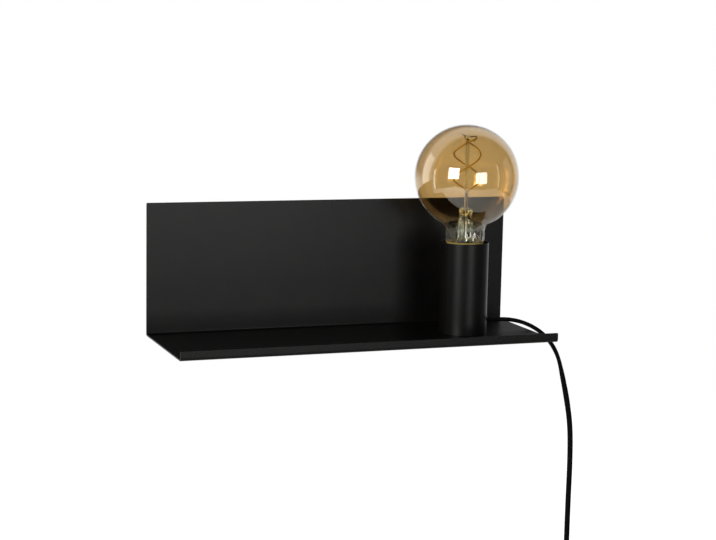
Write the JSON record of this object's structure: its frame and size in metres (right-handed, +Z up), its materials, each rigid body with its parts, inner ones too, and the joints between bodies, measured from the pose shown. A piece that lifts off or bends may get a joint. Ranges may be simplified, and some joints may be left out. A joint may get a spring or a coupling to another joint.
{
  "type": "wall lamp with shelf",
  "caption": "Bent sheet wall shelf with an upturned front lip, a tube lamp holder with a globe bulb, and a plug-in lead with an in-line switch.",
  "frame": {"origin": "on the wall, midway between the round ends of the two keyholes behind the back", "axes": "+X to the right along the shelf, +Y into the wall, +Z up; the lamp stands out towards -Y"},
  "size_m": [0.4439, 0.129, 0.6369],
  "materials": {
    "black_paint": "fine matt powder coat",
    "zinc_steel": "zinc plated",
    "black_steel": "black oxide",
    "black_rubber": "matt",
    "black_plastic": "moulded, satin",
    "cream_plastic": "moulded thermoset",
    "brass": "bare",
    "cap_metal": "nickel plated",
    "foot_metal": "tinned",
    "black_glass": "black insulating glass",
    "amber_glass": "amber tinted, clear",
    "clear_glass": "clear",
    "filament": "yellow phosphor skin",
    "support_wire": "drawn wire",
    "board": "circuit board",
    "cord_skin": "smooth matt lead",
    "core_brown": "insulated core",
    "core_blue": "insulated core"
  },
  "bodies": {
    "lamp_body": {"sheet_body": "black_paint", "hanger_plates": "zinc_steel", "wall_bumpers": "black_rubber", "holder_cup": "black_paint", "cup_screws": "black_steel", "holder_bridge": "zinc_steel", "nipple": "zinc_steel", "nipple_nut": "zinc_steel", "holder_dome": "black_plastic", "contact_block": "cream_plastic", "holder_sleeve": "black_plastic", "centre_contact": "brass", "side_contact": "brass", "terminal_screws": "zinc_steel", "cord_bush": "black_plastic", "cord_grip": "cream_plastic", "grip_screw": "zinc_steel", "core_live": "core_brown", "core_neutral": "core_blue", "cord_lead": "cord_skin", "switch_base": "black_plastic", "switch_cover": "black_plastic", "switch_clips": "brass", "switch_screws": "zinc_steel", "cord_drop": "cord_skin", "cord_coil": "cord_skin", "coil_tie": "black_plastic", "cord_tail": "cord_skin", "plug_body": "black_plastic", "plug_pins": "brass"},
    "bulb_slide": {"bulb_foot": "foot_metal", "bulb_insulator": "black_glass"},
    "bulb": {"bulb_cap": "cap_metal", "bulb_globe": "amber_glass", "bulb_stem": "clear_glass", "bulb_supports": "support_wire", "bulb_filament": "filament", "bulb_driver": "board"},
    "rocker": {"switch_rocker": "black_plastic"}
  },
  "joints": [
    {"name": "bulb_lift", "type": "slide", "parent": "lamp_body", "child": "bulb_slide", "axis": [0, 0, 1], "range_m": [0, 0.0182]},
    {"name": "bulb_turn", "type": "hinge", "parent": "bulb_slide", "child": "bulb", "pos_m": [0.108, -0.067, 0], "axis": [0, 0, 1], "range_deg": [0, 1800]},
    {"name": "switch_rocker", "type": "hinge", "parent": "lamp_body", "child": "rocker", "pos_m": [0.2242, -0.0726, -0.338], "axis": [-1, 0, 0], "range_deg": [0, 16]}
  ],
  "couplings": [
    {"joint": "bulb_lift", "follows": "bulb_turn", "m_per_rad": 0.00057757}
  ]
}
